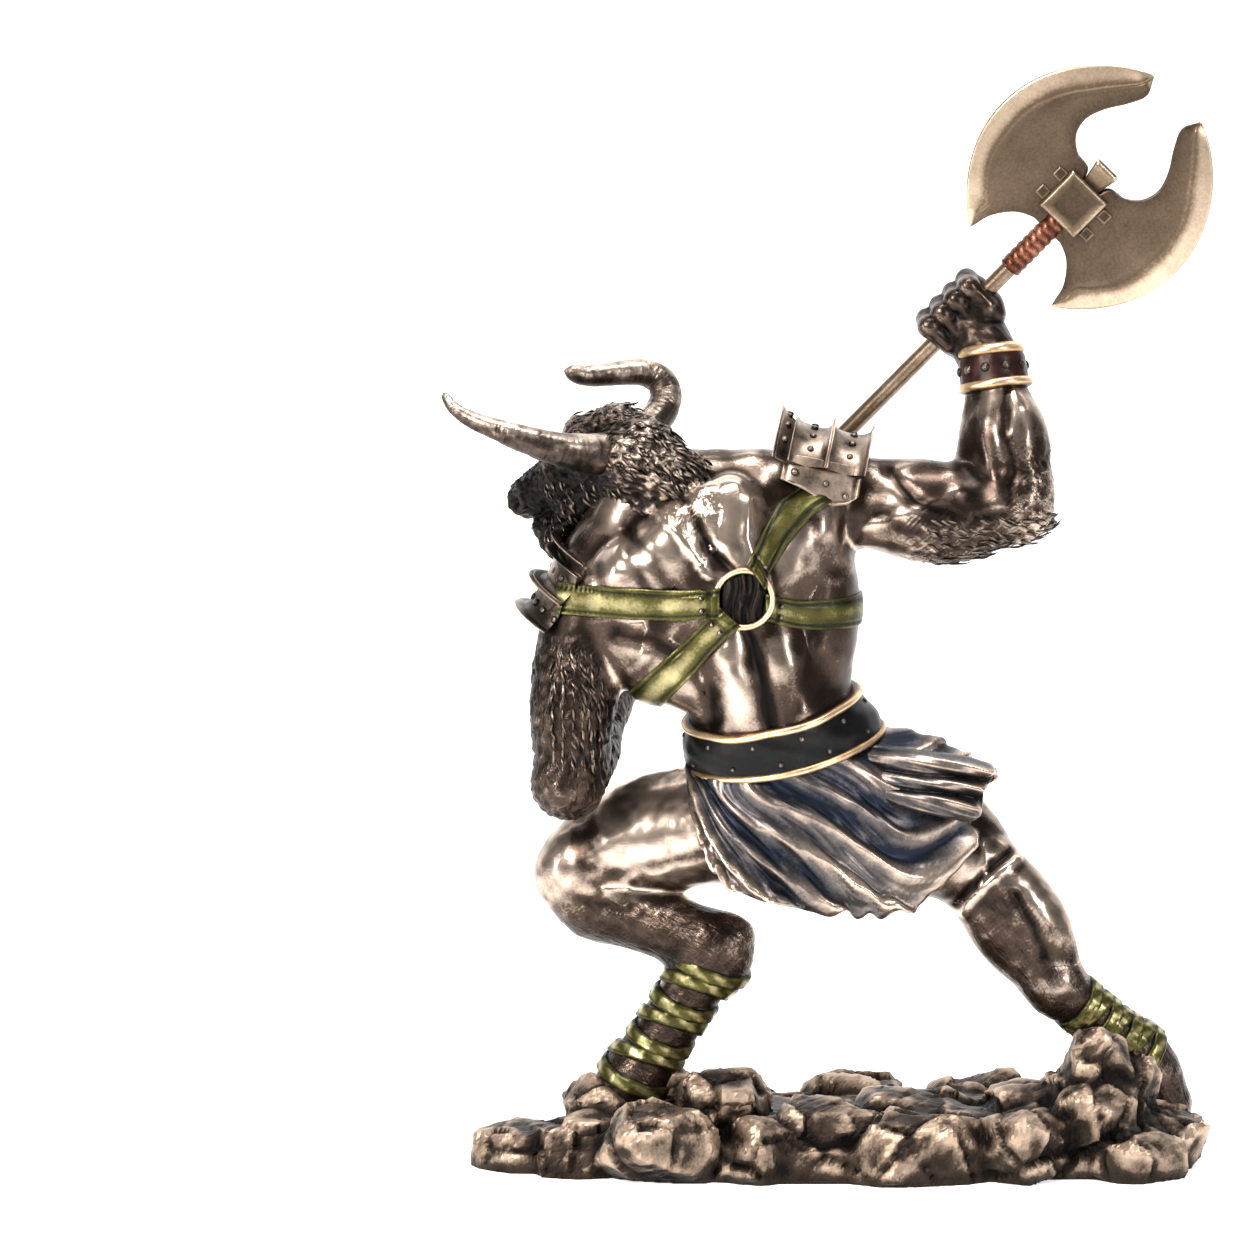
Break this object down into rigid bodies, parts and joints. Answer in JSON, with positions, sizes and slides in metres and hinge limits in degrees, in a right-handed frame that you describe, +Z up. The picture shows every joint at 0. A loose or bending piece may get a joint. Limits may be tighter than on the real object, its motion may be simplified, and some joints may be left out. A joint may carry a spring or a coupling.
{
  "type": "minotaur statue",
  "caption": "Cast figurine of a horned bull-headed fighter lunging on a rock base, raising a double-bladed axe in one hand.",
  "frame": {"origin": "middle of the rock base's flat underside", "axes": "+Z up, +X the side of the raised axe, +Y the way the figure's chest faces; the picture looks along +Y"},
  "size_m": [0.2116, 0.1045, 0.3022],
  "materials": {
    "bronze": "cold-cast bronze resin, dark brown patina with polished highlights and painted details",
    "axe_bronze": "cold-cast bronze resin, pale satin"
  },
  "bodies": {
    "root": {"minotaur_and_rock": "bronze", "double_axe": "axe_bronze"}
  },
  "joints": []
}
